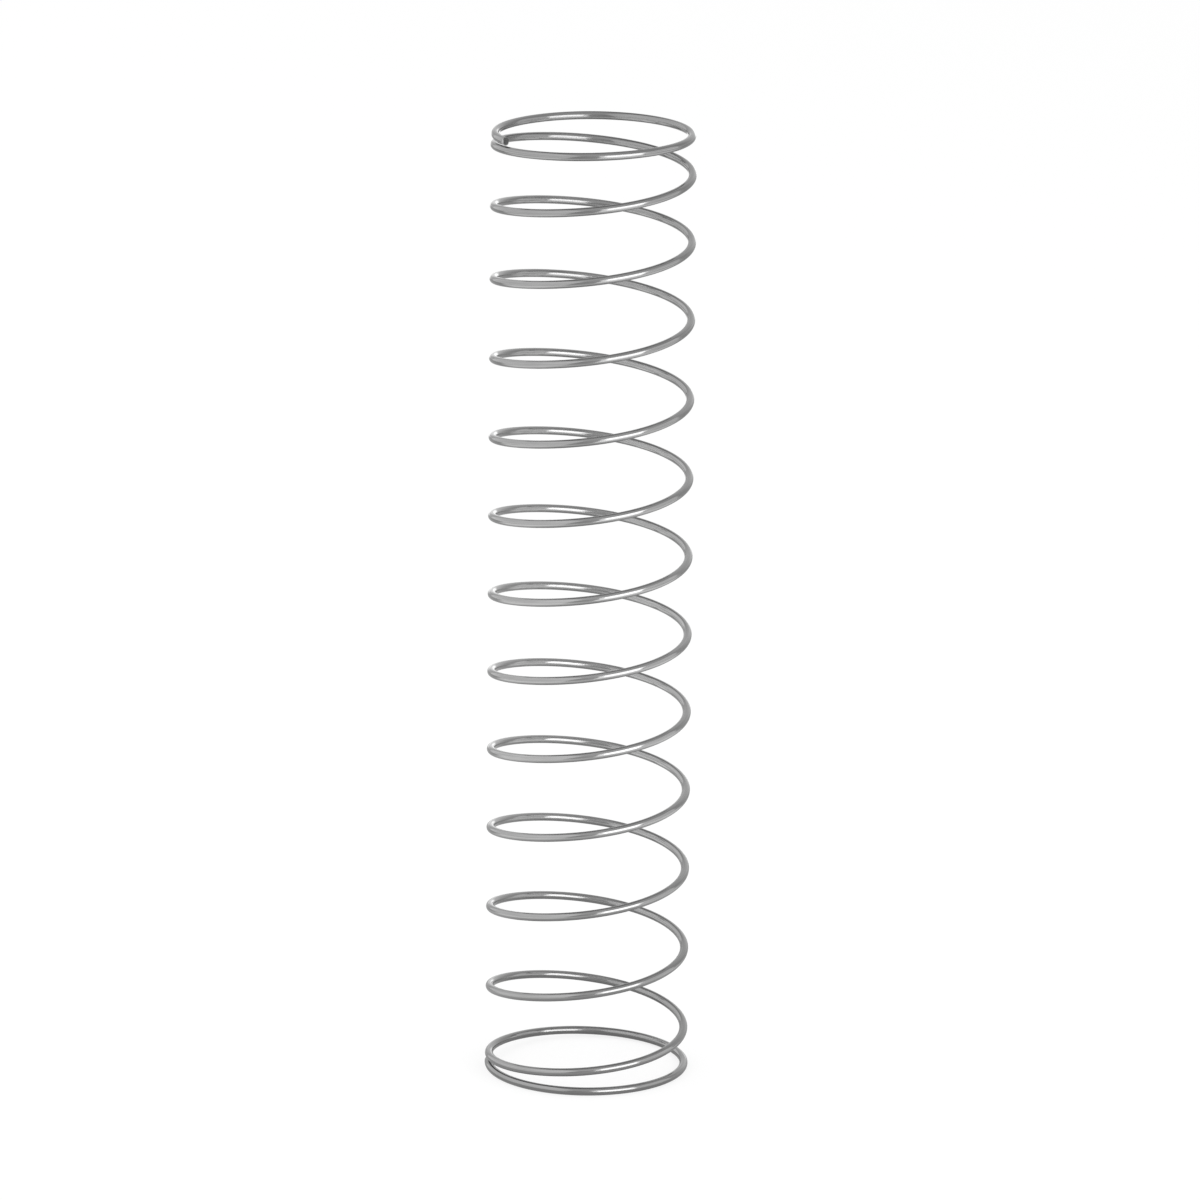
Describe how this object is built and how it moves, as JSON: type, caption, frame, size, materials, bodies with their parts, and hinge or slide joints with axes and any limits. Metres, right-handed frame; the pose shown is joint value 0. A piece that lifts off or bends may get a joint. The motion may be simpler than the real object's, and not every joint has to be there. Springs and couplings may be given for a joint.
{
  "type": "valve spring",
  "caption": "Long slender helical compression spring of round drawn wire, coiled right-handed, with closed and unground ends, that pushes a light valve back to its seat.",
  "frame": {"origin": "on the coil's axis, in the plane that the bottom coil rests on", "axes": "+Z along the coil's axis, from the bottom end to the top end; -Y is the side that the picture was taken from, and the top wire end is at the left, towards -X and -Y"},
  "size_m": [0.0314, 0.0314, 0.1481],
  "materials": {
    "spring_wire": "bright drawn stainless spring wire, with fine lengthwise drawing lines"
  },
  "bodies": {
    "root": {"coil_spring": "spring_wire"}
  },
  "joints": []
}
